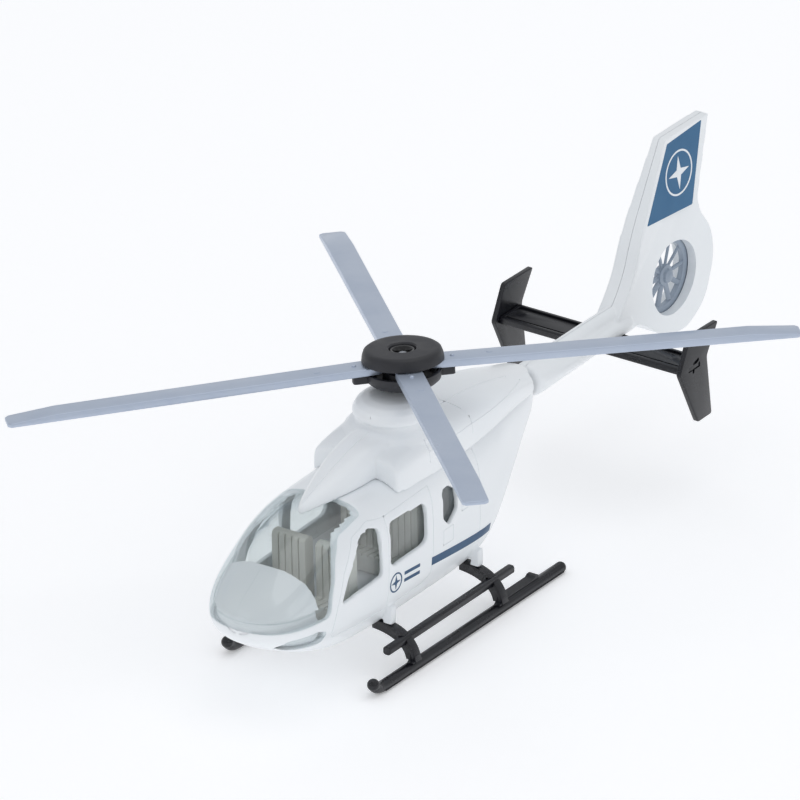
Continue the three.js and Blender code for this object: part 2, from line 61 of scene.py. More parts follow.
view_direction = Vector((0.4974, -0.7486, 0.4384)).normalized()
view_target = place(0, -1.4, 58.6)
view_distance = 12.0
sensor_width = 36
picture_across = 0.201
camera = bpy.data.objects.new("camera", bpy.data.cameras.new("camera"))
camera.location = view_target + view_direction * view_distance
camera.rotation_euler = (-view_direction).to_track_quat("-Z", "Y").to_euler()
camera.data.sensor_width = sensor_width
camera.data.lens = view_distance * sensor_width / picture_across
camera.data.clip_end = 60
bpy.context.scene.collection.objects.link(camera)
bpy.context.scene.camera = camera
bpy.context.scene.view_settings.view_transform = "Standard"


def linear(code):
    channels = [int(code[i:i + 2], 16) / 255 for i in (1, 3, 5)]
    return tuple(c / 12.92 if c <= 0.04045 else ((c + 0.055) / 1.055) ** 2.4 for c in channels) + (1.0,)


def add_node(material, kind, settings=None, links=None):
    made = material.node_tree.nodes.new(kind)
    for name, value in (settings or {}).items():
        if hasattr(made, name):
            setattr(made, name, value)
        else:
            made.inputs[name].default_value = value
    for name, source in (links or {}).items():
        material.node_tree.links.new(source, made.inputs[name])
    return made


def new_material(name):
    material = bpy.data.materials.new(name)
    material.use_nodes = True
    material.node_tree.nodes.clear()
    return material


def close_material(material, shader):
    output = add_node(material, "ShaderNodeOutputMaterial")
    material.node_tree.links.new(shader.outputs[0], output.inputs["Surface"])
    return material


table_paint = new_material("table_white_laminate")
close_material(table_paint, add_node(table_paint, "ShaderNodeBsdfPrincipled", {
    "Base Color": linear("#FDFDFE"), "Roughness": 0.7,
    "Emission Color": linear("#FFFFFF"), "Emission Strength": 0.22}))
bpy.ops.mesh.primitive_plane_add(size=12, location=(0, 0, 0))
table = bpy.context.object
table.name = "table"
table.data.materials.append(table_paint)

room = bpy.data.worlds.new("room")
bpy.context.scene.world = room
room.use_nodes = True
room.node_tree.nodes["Background"].inputs["Color"].default_value = linear("#FAFCFF")
room.node_tree.nodes["Background"].inputs["Strength"].default_value = 0.66


def softbox(name, place_at, width, height, watts):
    light = bpy.data.lights.new(name, "AREA")
    light.shape = "RECTANGLE"
    light.size = width
    light.size_y = height
    light.energy = watts
    holder = bpy.data.objects.new(name, light)
    holder.location = place_at
    holder.rotation_euler = (Vector(place_at) - view_target).to_track_quat("Z", "Y").to_euler()
    bpy.context.scene.collection.objects.link(holder)


softbox("overhead_softbox", (0.1, 0.15, 1.3), 1.2, 1.2, 2.6)
softbox("port_softbox", (1.2, -0.2, 0.7), 0.7, 0.9, 0.7)
softbox("nose_softbox", (-0.5, -1.3, 0.7), 0.6, 0.8, 0.5)


# ---- white enamel, for the cast pod and cowling ----
# Zinc casting sprayed white and stoved: an even, bright gloss with the faint ripple of sprayed paint.
def white_gloss(name, colour, shade, roughness, ripple_mm):
    material = new_material(name)
    spot = add_node(material, "ShaderNodeTexCoord")
    cloud = add_node(material, "ShaderNodeTexNoise", {"Scale": 1 / (24 * mm), "Detail": 3.0},
                     {"Vector": spot.outputs["Object"]})
    tint = add_node(material, "ShaderNodeMix", {"data_type": "RGBA"}, {"Factor": cloud.outputs["Fac"]})
    tint.inputs[6].default_value = linear(colour)
    tint.inputs[7].default_value = linear(shade)
    peel = add_node(material, "ShaderNodeTexNoise", {"Scale": 1 / (ripple_mm * mm), "Detail": 1.0},
                    {"Vector": spot.outputs["Object"]})
    bump = add_node(material, "ShaderNodeBump", {"Strength": 0.12, "Distance": 0.03 * mm},
                    {"Height": peel.outputs["Fac"]})
    spread = add_node(material, "ShaderNodeMapRange",
                      {"To Min": roughness - 0.04, "To Max": roughness + 0.06},
                      {"Value": cloud.outputs["Fac"]})
    shader = add_node(material, "ShaderNodeBsdfPrincipled",
                      {"IOR": 1.5, "Coat Weight": 0.25, "Coat Roughness": 0.08},
                      {"Base Color": tint.outputs[2], "Roughness": spread.outputs["Result"],
                       "Normal": bump.outputs["Normal"]})
    return close_material(material, shader)


enamel = white_gloss("white_stoved_enamel", "#F7F9FB", "#EFF4F7", 0.3, 1.2)


# ---- the pod: one cast shell with window openings ----
# A hollow white casting from the nose to the root of the boom, with engraved doors and a cut-away nose.
# Each section (Y, half width, bottom Z, top Z, squareness) is a rounded square pulled out of the last one, and
# the cage is then subdivided.
pod_sections = [
    (-75.2, 2.6, 23.0, 28.0, 2.0),
    (-74.4, 6.2, 21.2, 29.6, 2.1),
    (-73, 9.2, 19.7, 31.0, 2.2),
    (-70, 12.3, 17.8, 33.0, 2.4),
    (-65, 14.4, 15.6, 36.0, 2.6),
    (-60, 15.3, 13.4, 38.9, 2.8),
    (-52, 15.9, 10.6, 43.4, 3.0),
    (-44, 16, 9.2, 46.4, 3.3),
    (-30, 16, 9, 46.8, 3.5),
    (-15, 16, 9, 46.8, 3.5),
    (0, 16, 9, 46.8, 3.5),
    (15, 15.5, 9.3, 46.6, 3.4),
    (24, 13.6, 11.6, 46.3, 3.1),
    (32, 10.9, 15.9, 46.1, 2.8),
    (40, 8.4, 21.6, 46, 2.6),
    (47, 6.6, 29.3, 45.9, 2.4),
    (54, 5.2, 35.6, 45.9, 2.2),
]


def select_only(*pieces):
    bpy.ops.object.select_all(action="DESELECT")
    for piece in pieces:
        piece.select_set(True)
    bpy.context.view_layer.objects.active = pieces[0]


def modify(piece, kind, **settings):
    select_only(piece)
    modifier = piece.modifiers.new("step", kind)
    for name, value in settings.items():
        setattr(modifier, name, value)
    bpy.ops.object.modifier_apply(modifier=modifier.name)
    return piece


def boolean(piece, operation, *tools):
    for tool in tools:
        modify(piece, "BOOLEAN", operation=operation, solver="MANIFOLD", object=tool)
        bpy.data.objects.remove(tool)
    return piece


def duplicate(piece, name):
    twin = bpy.data.objects.new(name, piece.data.copy())
    bpy.context.scene.collection.objects.link(twin)
    return twin


def settle(piece):
    # the place goes into the mesh, and the object stays at the origin
    bpy.context.view_layer.update()
    piece.data.transform(piece.matrix_world)
    piece.matrix_world = Matrix.Identity(4)
    return piece


def reshape(point, old, new):
    # moves a corner of the section "old" to the same corner of the section "new"
    (_, half0, low0, high0, square0), (y1, half1, low1, high1, square1) = old, new
    across = (point.x / mm) / half0
    up = (point.z / mm - (low0 + high0) / 2) / ((high0 - low0) / 2)
    turn = math.atan2(math.copysign(abs(up) ** (square0 / 2), up),
                      math.copysign(abs(across) ** (square0 / 2), across))
    across = math.copysign(abs(math.cos(turn)) ** (2 / square1), math.cos(turn))
    up = math.copysign(abs(math.sin(turn)) ** (2 / square1), math.sin(turn))
    point.x = across * half1 * mm
    point.y = mast_y + y1 * mm
    point.z = ((low1 + high1) / 2 + up * (high1 - low1) / 2) * mm


def pulled_body(name, sections, inset=0, corners=32, levels=2):
    shrunk = [(y, half - inset, low + inset, high - inset, square)
              for y, half, low, high, square in sections if half - inset > 0.4]
    first = shrunk[0]
    circle = (first[0], 1 / mm, -1 / mm, 1 / mm, 2.0)
    bpy.ops.mesh.primitive_circle_add(vertices=corners, radius=1, fill_type="NGON",
                                      rotation=(math.pi / 2, 0, 0))
    body = settle(bpy.context.object)
    body.name = name
    for vertex in body.data.vertices:
        reshape(vertex.co, circle, first)
    select_only(body)
    bpy.ops.object.mode_set(mode="EDIT")
    bpy.ops.mesh.select_all(action="SELECT")
    for old, new in zip(shrunk, shrunk[1:]):
        bpy.ops.mesh.extrude_region_move(TRANSFORM_OT_translate={"value": (0, (new[0] - old[0]) * mm, 0)})
        cage = bmesh.from_edit_mesh(body.data)
        for vertex in cage.verts:
            if vertex.select:
                reshape(vertex.co, old, new)
    bpy.ops.mesh.select_all(action="SELECT")
    bpy.ops.mesh.normals_make_consistent(inside=False)
    bpy.ops.object.mode_set(mode="OBJECT")
    return modify(body, "SUBSURF", levels=levels, render_levels=levels)


def plate(name, corners, low, high, radius, axis="X", segments=4):
    # a flat plate with rounded corners; its outline is (Y, Z), (X, Z) or (X, Y) across the axis
    bpy.ops.mesh.primitive_circle_add(vertices=len(corners), radius=1, fill_type="NGON")
    made = settle(bpy.context.object)
    made.name = name
    spots = {"X": lambda a, b: place(low, a, b),
             "Y": lambda a, b: place(a, low, b),
             "Z": lambda a, b: place(a, b, low)}
    for vertex, (a, b) in zip(made.data.vertices, corners):
        vertex.co = spots[axis](a, b)
    select_only(made)
    bpy.ops.object.mode_set(mode="EDIT")
    bpy.ops.mesh.select_all(action="SELECT")
    if radius:
        bpy.ops.mesh.bevel(affect="VERTICES", offset=radius * mm, segments=segments)
        bpy.ops.mesh.select_all(action="SELECT")
    step = Vector([(high - low) * mm if letter == axis else 0 for letter in "XYZ"])
    bpy.ops.mesh.extrude_region_move(TRANSFORM_OT_translate={"value": step})
    bpy.ops.mesh.select_all(action="SELECT")
    bpy.ops.mesh.normals_make_consistent(inside=False)
    bpy.ops.object.mode_set(mode="OBJECT")
    return made


def cast(piece, voxel, rounds):
    # fills corners and rounds edges, as a mould and a coat of paint do
    modify(piece, "REMESH", mode="VOXEL", voxel_size=voxel * mm, use_smooth_shade=True)
    return modify(piece, "SMOOTH", factor=0.5, iterations=rounds)


def finish_piece(piece, body, slot, material, *nodes, angle=35):
    piece.data.materials.clear()
    piece.data.materials.append(material)
    select_only(piece)
    bpy.ops.object.shade_smooth_by_angle(angle=math.radians(angle))
    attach(piece, body)
    if nodes:
        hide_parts(*nodes)
    return piece


def tube(name, route, radius, sides=6):
    # a closed round bar along a list of points
    wire = bpy.data.curves.new(name, "CURVE")
    wire.dimensions = "3D"
    wire.bevel_depth = radius * mm
    wire.bevel_resolution = sides
    wire.use_fill_caps = True
    spline = wire.splines.new("POLY")
    spline.points.add(len(route) - 1)
    for point, spot in zip(spline.points, route):
        point.co = (*spot, 1)
    holder = bpy.data.objects.new(name, wire)
    bpy.context.scene.collection.objects.link(holder)
    select_only(holder)
    bpy.ops.object.convert(target="MESH")
    made = bpy.context.object
    made.name = name
    select_only(made)
    bpy.ops.object.mode_set(mode="EDIT")
    bpy.ops.mesh.select_all(action="SELECT")
    bpy.ops.mesh.remove_doubles(threshold=0.001 * mm)
    bpy.ops.mesh.normals_make_consistent(inside=False)
    bpy.ops.object.mode_set(mode="OBJECT")
    return made


def on_skin(piece, points, direction, step=1.2):
    # follows a line drawn on the casting: points are (Y, Z) seen from a side, or (X, Y) seen from above
    bpy.context.view_layer.update()
    route = []
    for start, end in zip(points, points[1:]):
        count = max(1, round(math.dist(start, end) / step))
        for number in range(count + (end is points[-1])):
            a, b = (p + (q - p) * number / count for p, q in zip(start, end))
            origin = place(a, b, 100) if direction.z else place(-direction.x * 60, a, b)
            hit, spot, _, _ = piece.ray_cast(origin, direction)
            if hit:
                route.append(spot)
    return route


def scribe(piece, side_lines, top_lines=(), radius=0.17):
    # engraves fine panel lines on both sides and on top
    cutters = [tube("cutter", on_skin(piece, line, Vector((-side, 0, 0))), radius, 1)
               for line in side_lines for side in (1, -1)]
    cutters += [tube("cutter", on_skin(piece, line, Vector((0, 0, -1))), radius, 1) for line in top_lines]
    select_only(*cutters)
    bpy.ops.object.join()
    return boolean(piece, "DIFFERENCE", bpy.context.object)


shell_wall = 1.4
glass_wall = 0.9
coarse_voxel, fine_voxel = 0.42, 0.36
nose_opening = [(-80, 24.5), (-56, 24.5), (-55.3, 29.5), (-52.2, 37.5), (-47.6, 42.4), (-41, 43.7),
                (-36.4, 44.3), (-36.2, 50), (-80, 50)]
door_window = [(-51, 25.8), (-32.8, 26.6), (-33.4, 39.6), (-37, 41), (-41.4, 40.2), (-48, 32)]
sliding_window = [(-29, 27.2), (-12.6, 27.8), (-12.8, 38.8), (-29, 39.4)]
rear_window = [(-5.2, 31), (-2.6, 28.4), (1.2, 31.4), (1.2, 36.6), (-2, 39), (-5.2, 38.6)]
leg_places = {"front": -28.5, "rear": 11}
lug_inner_x, lug_outer_x = 13.8, 16.35
chin_opening = [(-70.4, 19.6), (-66, 17.4), (-58, 17.6), (-56.8, 20.4), (-60, 21.6), (-69, 21.8)]

pod_solid = pulled_body("pod_solid", pod_sections)
pod = duplicate(pod_solid, "pod_casting")
pod_room = pulled_body("pod_room", pod_sections[:-1] + [(56, 5.2, 35.6, 45.9, 2.2)], inset=shell_wall)
boolean(pod, "DIFFERENCE", pod_room,
        plate("nose_cut", nose_opening, -20, 20, 1.5),
        plate("door_cut", door_window, -20, 20, 1.0),
        plate("sliding_cut", sliding_window, -20, 20, 1.9),
        plate("rear_cut", rear_window, -20, 20, 0.8),
        plate("chin_cut_left", chin_opening, 4, 20, 0.9),
        plate("chin_cut_right", chin_opening, -20, -4, 0.9))
for side in (1, -1):
    for leg_y in leg_places.values():
        near, far = sorted((side * lug_inner_x, side * lug_outer_x))
        lug = [(leg_y - 1.3, 11.4), (leg_y + 1.3, 11.4), (leg_y + 1.2, 16.2), (leg_y - 1.2, 16.2)]
        boolean(pod, "UNION", plate("leg_lug", lug, near, far, 0.4))
cast(pod, coarse_voxel, 2)
front_door = [(-30.3, 16.4), (-30.3, 41.6), (-37, 42.7), (-44, 41.2), (-50, 34), (-53.6, 24.5), (-55, 18.8),
              (-53.8, 17.7), (-30.3, 16.4)]
sliding_door = [(-30.3, 16.4), (-14, 17), (-11, 18.3), (-10.2, 21.5), (-10.2, 42), (-30.3, 41.6)]
fuel_hatch = [(-5.4, 23.8), (-1, 23.8), (-1, 28), (-5.4, 28), (-5.4, 23.8)]
vent_hatch = [(3, 30), (5.8, 30), (5.8, 33), (3, 33), (3, 30)]
rear_door = [(12, 12.5), (12, 44.5)]
scribe(pod, [front_door, sliding_door, fuel_hatch, vent_hatch, rear_door])
finish_piece(pod, "fuselage", "body_paint", enamel, "cabin_shell", "belly_pan")

# ---- clear moulding: windscreen, chin windows and side glazing ----
# Injection-moulded clear polystyrene, thick enough to show bright edges.
clear = new_material("clear_polystyrene")
rim_weight = add_node(clear, "ShaderNodeLayerWeight", {"Blend": 0.35})
rim_tone = add_node(clear, "ShaderNodeValToRGB", None, {"Fac": rim_weight.outputs["Facing"]})
rim_tone.color_ramp.elements[0].color = linear("#FAFCFC")
rim_tone.color_ramp.elements[0].position = 0.35
rim_tone.color_ramp.elements[1].color = linear("#C4D0D6")
see_through = add_node(clear, "ShaderNodeBsdfTransparent", None, {"Color": rim_tone.outputs["Color"]})
gloss = add_node(clear, "ShaderNodeBsdfGlossy", {"Color": linear("#FFFFFF"), "Roughness": 0.03})
glance = add_node(clear, "ShaderNodeLayerWeight", {"Blend": 0.5})
steep = add_node(clear, "ShaderNodeMath", {"operation": "POWER"}, {0: glance.outputs["Facing"]})
steep.inputs[1].default_value = 4.0
bounce = add_node(clear, "ShaderNodeMapRange", {"To Min": 0.05, "To Max": 0.75}, {"Value": steep.outputs[0]})
clear_mix = add_node(clear, "ShaderNodeMixShader", None, {"Fac": bounce.outputs["Result"]})
clear.node_tree.links.new(see_through.outputs[0], clear_mix.inputs[1])
clear.node_tree.links.new(gloss.outputs[0], clear_mix.inputs[2])
path = add_node(clear, "ShaderNodeLightPath")
lamp_way = add_node(clear, "ShaderNodeBsdfTransparent", {"Color": linear("#FFFFFF")})
clear_outer = add_node(clear, "ShaderNodeMixShader", None, {"Fac": path.outputs["Is Shadow Ray"]})
clear.node_tree.links.new(clear_mix.outputs[0], clear_outer.inputs[1])
clear.node_tree.links.new(lamp_way.outputs[0], clear_outer.inputs[2])
close_material(clear, clear_outer)

rim_extra = 1.1
inner_face = pulled_body("inner_face", pod_sections, inset=glass_wall)
bubble = duplicate(pod_solid, "windscreen_bubble")
boolean(bubble, "DIFFERENCE", duplicate(inner_face, "bubble_room"))
bubble_wall = duplicate(bubble, "bubble_wall")
rim_band = duplicate(pod_solid, "rim_band")
boolean(rim_band, "DIFFERENCE", pulled_body("band_room", pod_sections, inset=glass_wall + rim_extra))
band_zone = [(-80, 24.5), (-56, 24.5), (-56, 26.9), (-80, 26.9)]
boolean(rim_band, "INTERSECT", plate("band_keep", band_zone, -20, 20, 0))
centre_strip = pulled_body("centre_strip", pod_sections, inset=-0.15)
boolean(centre_strip, "DIFFERENCE", pulled_body("strip_room", pod_sections, inset=0.5))
strip_zone = [(-80, 29), (-40, 29), (-40, 50), (-80, 50)]
boolean(centre_strip, "INTERSECT", plate("strip_keep", strip_zone, -0.45, 0.45, 0))
boolean(bubble, "UNION", rim_band, centre_strip)
boolean(bubble, "INTERSECT", plate("nose_keep", nose_opening, -20, 20, 1.5))
finish_piece(bubble, "fuselage", "clear_plastic", clear, "windscreen")
for side, low, high in (("left", 4, 20), ("right", -20, -4)):
    chin = duplicate(bubble_wall, f"chin_glass_{side}")
    boolean(chin, "INTERSECT", plate("chin_keep", chin_opening, low, high, 0.9))
    finish_piece(chin, "fuselage", "clear_plastic", clear, f"chin_window_{side}")
bpy.data.objects.remove(bubble_wall)
bpy.data.objects.remove(inner_face)

glazing_gap = 0.1
glazing = pulled_body("glazing", pod_sections, inset=shell_wall + glazing_gap)
boolean(glazing, "DIFFERENCE",
        pulled_body("glazing_room", pod_sections, inset=shell_wall + glazing_gap + glass_wall))
glazing_zone = [(-50, 23.6), (3, 23.6), (3, 41), (-50, 41)]
for side, low, high in (("left", 2, 20), ("right", -20, -2)):
    pane = duplicate(glazing, f"side_glass_{side}")
    boolean(pane, "INTERSECT", plate("glazing_keep", glazing_zone, low, high, 1))
    finish_piece(pane, "fuselage", "clear_plastic", clear, f"side_glazing_{side}")
bpy.data.objects.remove(glazing)

# ---- engine cowling with the mast fairing ----
# A second white casting on the roof: twin shoulders with flat intake faces, a keel down the middle of the
# windscreen and a two-tier dome that carries the rotor.
cowling_sections = [
    (-22, 12.4, 40, 51.4, 4.5),
    (-21.7, 12.8, 40, 51.8, 4.5),
    (-18, 13.2, 40, 52.8, 4.2),
    (-9, 13.7, 40, 53.9, 3.8),
    (2, 13.7, 40, 54.3, 3.6),
    (14, 13.2, 40, 54.2, 3.3),
    (26, 11.6, 40, 53.2, 2.9),
    (38, 9, 40, 50.8, 2.6),
    (48, 6.8, 39, 47.9, 2.3),
    (56, 5.5, 38, 46.3, 2.2),
]
keel_sections = [
    (-46.7, 0.5, 44, 47.0, 1.8),
    (-45.6, 1.5, 43.6, 47.8, 1.8),
    (-42, 3.1, 43, 49.0, 1.9),
    (-36, 4.8, 42, 50.8, 2.2),
    (-30, 5.8, 42, 52.6, 2.7),
    (-24, 6.2, 42, 54.2, 3.4),
    (-18, 6.4, 42, 55.2, 3.6),
    (-8, 6.6, 42, 56, 3.6),
]
dome_profile = [(0, 50), (12.8, 50), (12.6, 53.0), (11.4, 54.2), (9.9, 55.0), (9.4, 56.0), (9.5, 56.8),
                (10.5, 57.0), (10.5, 58.2), (9.6, 59.8), (8.2, 60.8), (6.4, 61.4), (0, 61.6)]
dome_centre_y = -3.5
dome_stretch = 1.12


def turned(name, profile, centre, steps=72, radius=0):
    # a closed outline (radius, height) is spun about an upright axis through the centre
    bpy.ops.mesh.primitive_circle_add(vertices=len(profile), radius=1, fill_type="NOTHING")
    made = settle(bpy.context.object)
    made.name = name
    for vertex, (across, up) in zip(made.data.vertices, profile):
        vertex.co = centre + Vector((across * mm, 0, up * mm))
    select_only(made)
    bpy.ops.object.mode_set(mode="EDIT")
    bpy.ops.mesh.select_all(action="SELECT")
    if radius:
        bpy.ops.mesh.bevel(affect="VERTICES", offset=radius * mm, segments=3)
        bpy.ops.mesh.select_all(action="SELECT")
    bpy.ops.mesh.spin(steps=steps, angle=2 * math.pi, center=centre, axis=(0, 0, 1), use_auto_merge=True)
    bpy.ops.mesh.select_all(action="SELECT")
    bpy.ops.mesh.remove_doubles(threshold=0.001 * mm)
    bpy.ops.mesh.dissolve_degenerate(threshold=0.001 * mm)
    bpy.ops.mesh.select_all(action="SELECT")
    bpy.ops.mesh.normals_make_consistent(inside=False)
    bpy.ops.object.mode_set(mode="OBJECT")
    return made


cowling = pulled_body("engine_cowling_casting", cowling_sections)
dome = turned("dome", dome_profile, Vector((0, 0, 0)))
dome_place = Matrix.Translation(place(0, dome_centre_y, 0))
dome.data.transform(dome_place @ Matrix.Diagonal((1, dome_stretch, 1, 1)))
boolean(cowling, "UNION", pulled_body("keel", keel_sections, corners=24), dome)
boolean(cowling, "DIFFERENCE", pulled_body("roof_relief", pod_sections, inset=-0.1),
        plate("boom_relief", [(-10, 30), (10, 30), (10, 46.1), (-10, 46.1)], 50, 60, 0, "Y"))
cast(cowling, fine_voxel, 2)
cowl_seams = [[(-8, 47.4), (-8, 53.4)], [(12, 47.4), (12, 53.2)], [(-8, 50.4), (12, 50.2), (44, 47.6)]]
keel_crease = [(0, -45.6), (0, -14.6)]
roof_seams = [[(-12, 12), (12, 12)], [(4.5, 9), (4.5, 40)], [(-4.5, 9), (-4.5, 40)]]
scribe(cowling, cowl_seams, [keel_crease, *roof_seams])
finish_piece(cowling, "fuselage", "body_paint", enamel, "engine_cowling")


# ---- tail: boom and fin in two halves ----
# Moulded in white ABS, split down the middle; a spine and two side ribs run along the boom and die out in
# the fin, and a round duct goes through the fin's foot.
tail_abs = white_gloss("white_moulded_abs", "#F6F8FA", "#EEF3F6", 0.34, 1.6)
boom_sections = [
    (54.3, 5.05, 35.75, 45.85, 2.0),
    (60, 4.6, 36.0, 45.0, 2.0),
    (80, 4.2, 36.2, 44.6, 2.1),
    (92, 3.9, 36.5, 44.2, 2.2),
    (104, 3.5, 36.8, 43.8, 2.4),
    (112, 3.3, 37, 43, 2.4),
]
spine_sections = [
    (55, 2.4, 41, 46.1, 2.0),
    (80, 2.4, 41, 46, 2.0),
    (98.4, 2.4, 41, 45.8, 2.0),
    (100.6, 1.4, 42, 44.8, 2.0),
]
rib_sections = [
    (57, 2.1, 38.2, 42.8, 2.0),
    (80, 2.2, 38.2, 42.8, 2.0),
    (97.6, 2.2, 38.2, 42.8, 2.0),
    (99.8, 1.3, 39.2, 41.8, 2.0),
]
rib_x = 2.9
fin_edge = [(93, 43, 1), (100, 51, 5), (104.4, 62.4, 5), (117, 84.2, 0.9), (137, 83.8, 0.3), (129.4, 61, 5),
            (136.3, 52.6, 4), (137.6, 44, 4), (133.4, 33, 4), (124.6, 28.2, 4), (114, 30.6, 4),
            (106, 36.6, 2)]
fin_half = 3.5
fin_top_half = 1.9
duct_y, duct_z, duct_radius = 119, 45.1, 9.9
tail_gap = 0.06


def arc(start, middle, end, steps=8):
    # points along a curve that leaves the start towards the middle and comes to the end from it
    points = []
    for number in range(steps + 1):
        t = number / steps
        points.append(tuple((1 - t) ** 2 * a + 2 * t * (1 - t) * b + t * t * c
                            for a, b, c in zip(start, middle, end)))
    return points


def rounded(corners):
    # an outline whose corners each have a radius of their own
    points = []
    for number, (a, b, radius) in enumerate(corners):
        spot = Vector((a, b))
        before = Vector(corners[number - 1][:2]) - spot
        after = Vector(corners[(number + 1) % len(corners)][:2]) - spot
        reach = min(radius, before.length * 0.48, after.length * 0.48)
        points += arc(spot + before.normalized() * reach, spot, spot + after.normalized() * reach, 6)
    return points


def taper_fin(piece):
    # the fin is thinner towards its top
    for vertex in piece.data.vertices:
        rise = min(max((vertex.co.z / mm - 58) / 26, 0), 1)
        vertex.co.x *= 1 + rise * (fin_top_half / fin_half - 1)
    return piece


fin = taper_fin(plate("fin", rounded(fin_edge), -fin_half, fin_half, 0))
modify(fin, "BEVEL", width=0.8 * mm, segments=3, limit_method="ANGLE", angle_limit=math.radians(60))
tail = pulled_body("tail", boom_sections, corners=24)
ribs = []
for side in (1, -1):
    rib = pulled_body("rib", rib_sections, corners=16)
    rib.data.transform(Matrix.Translation((side * rib_x * mm, 0, 0)))
    ribs.append(rib)
boolean(tail, "UNION", fin, pulled_body("spine", spine_sections, corners=16), *ribs)


def drum(name, radius, low, high, centre_y, centre_z, steps=72, rounded=0):
    # a cylinder lying across the model
    outline = [(0, low), (radius, low), (radius, high), (0, high)]
    made = turned(name, outline, Vector((0, 0, 0)), steps, rounded)
    across = Matrix.Translation(place(0, centre_y, centre_z)) @ Matrix.Rotation(math.pi / 2, 4, "Y")
    made.data.transform(across)
    return made


cast(tail, fine_voxel, 2)
boolean(tail, "DIFFERENCE",
        drum("duct", duct_radius, -12, 12, duct_y, duct_z, 96),
        drum("fan_groove", 10.85, -1.05, 1.05, duct_y, duct_z, 96),
        plate("stabiliser_slot",
              [(84.85, 37.35), (94.65, 37.35), (94.65, 39.65), (84.85, 39.65)], -12, 12, 0))
for side, low, high in (("left", tail_gap, 20), ("right", -20, -tail_gap)):
    half = duplicate(tail, f"tail_moulding_{side}")
    boolean(half, "INTERSECT", plate("half_keep", [(40, 0), (150, 0), (150, 100), (40, 100)], low, high, 0))
    finish_piece(half, "fuselage", "tail_plastic", tail_abs, f"tail_half_{side}")
bpy.data.objects.remove(tail)


# ---- shrouded fan ----
# One grey-blue moulding: a domed boss, ten flat arms and a rim that runs in a groove of the duct.
def plastic(name, colour, shade, roughness, cloud_mm, grain_mm, grain, metallic=0.0, coat=0.0):
    # dyed plastic: slow change of tone, a fine grain from the mould, and roughness that follows the tone
    material = new_material(name)
    spot = add_node(material, "ShaderNodeTexCoord")
    cloud = add_node(material, "ShaderNodeTexNoise",
                     {"Scale": 1 / (cloud_mm * mm), "Detail": 4.0, "Roughness": 0.55},
                     {"Vector": spot.outputs["Object"]})
    tint = add_node(material, "ShaderNodeMix", {"data_type": "RGBA"}, {"Factor": cloud.outputs["Fac"]})
    tint.inputs[6].default_value = linear(colour)
    tint.inputs[7].default_value = linear(shade)
    speck = add_node(material, "ShaderNodeTexNoise", {"Scale": 1 / (grain_mm * mm), "Detail": 2.0},
                     {"Vector": spot.outputs["Object"]})
    bump = add_node(material, "ShaderNodeBump", {"Strength": grain, "Distance": 0.03 * mm},
                    {"Height": speck.outputs["Fac"]})
    spread = add_node(material, "ShaderNodeMapRange",
                      {"From Min": 0.3, "From Max": 0.7,
                       "To Min": roughness - 0.06, "To Max": roughness + 0.08},
                      {"Value": cloud.outputs["Fac"]})
    shader = add_node(material, "ShaderNodeBsdfPrincipled",
                      {"IOR": 1.5, "Metallic": metallic, "Coat Weight": coat, "Coat Roughness": 0.15},
                      {"Base Color": tint.outputs[2], "Roughness": spread.outputs["Result"],
                       "Normal": bump.outputs["Normal"]})
    return close_material(material, shader)


fan_grey = plastic("blue_grey_polystyrene", "#A3AFBD", "#8F9CAC", 0.34, 3, 0.35, 0.15)
fan_arms = 10
across = Matrix.Translation(place(0, duct_y, duct_z)) @ Matrix.Rotation(math.pi / 2, 4, "Y")
fan_rim = [(8.5, -0.8), (10.6, -0.8), (10.6, 0.8), (9.3, 0.8), (8.5, 0.5)]
boss_profile = [(0, -1.5), (2.3, -1.2), (2.9, 0), (2.7, 0.9), (1.9, 1.2), (1.7, 1.9), (0.9, 2.5), (0, 2.6)]
fan = turned("shrouded_fan", fan_rim, Vector((0, 0, 0)), 80)
boss = turned("boss", boss_profile, Vector((0, 0, 0)), 48)
arms = []
for number in range(fan_arms):
    bpy.ops.mesh.primitive_cube_add(size=1, location=(5.6 * mm, 0, 0))
    arm = bpy.context.object
    arm.scale = (6.8 * mm, 1.35 * mm, 0.7 * mm)
    arm.rotation_euler = (0.45, 0, 0)
    settle(arm)
    modify(arm, "BEVEL", width=0.2 * mm, segments=2)
    arm.data.transform(Matrix.Rotation((number + 0.5) * 2 * math.pi / fan_arms, 4, "Z"))
    arms.append(arm)
boolean(fan, "UNION", boss, *arms)
fan.data.transform(across)
modify(fan, "BEVEL", width=0.1 * mm, segments=2, limit_method="ANGLE", angle_limit=math.radians(60))
finish_piece(fan, "fan", "fan_plastic", fan_grey, "tail_fan")

# ---- stabiliser and end plates ----
# Glossy black polystyrene: a shallow tray with raised rims through the boom, and two swept plates on its
# tenons.
gloss_black = plastic("black_polystyrene", "#0C0D13", "#14151C", 0.27, 9, 0.5, 0.08)


def round_edges(piece, width, angle=40, segments=3):
    return modify(piece, "BEVEL", width=width * mm, segments=segments, limit_method="ANGLE",
                  angle_limit=math.radians(angle))


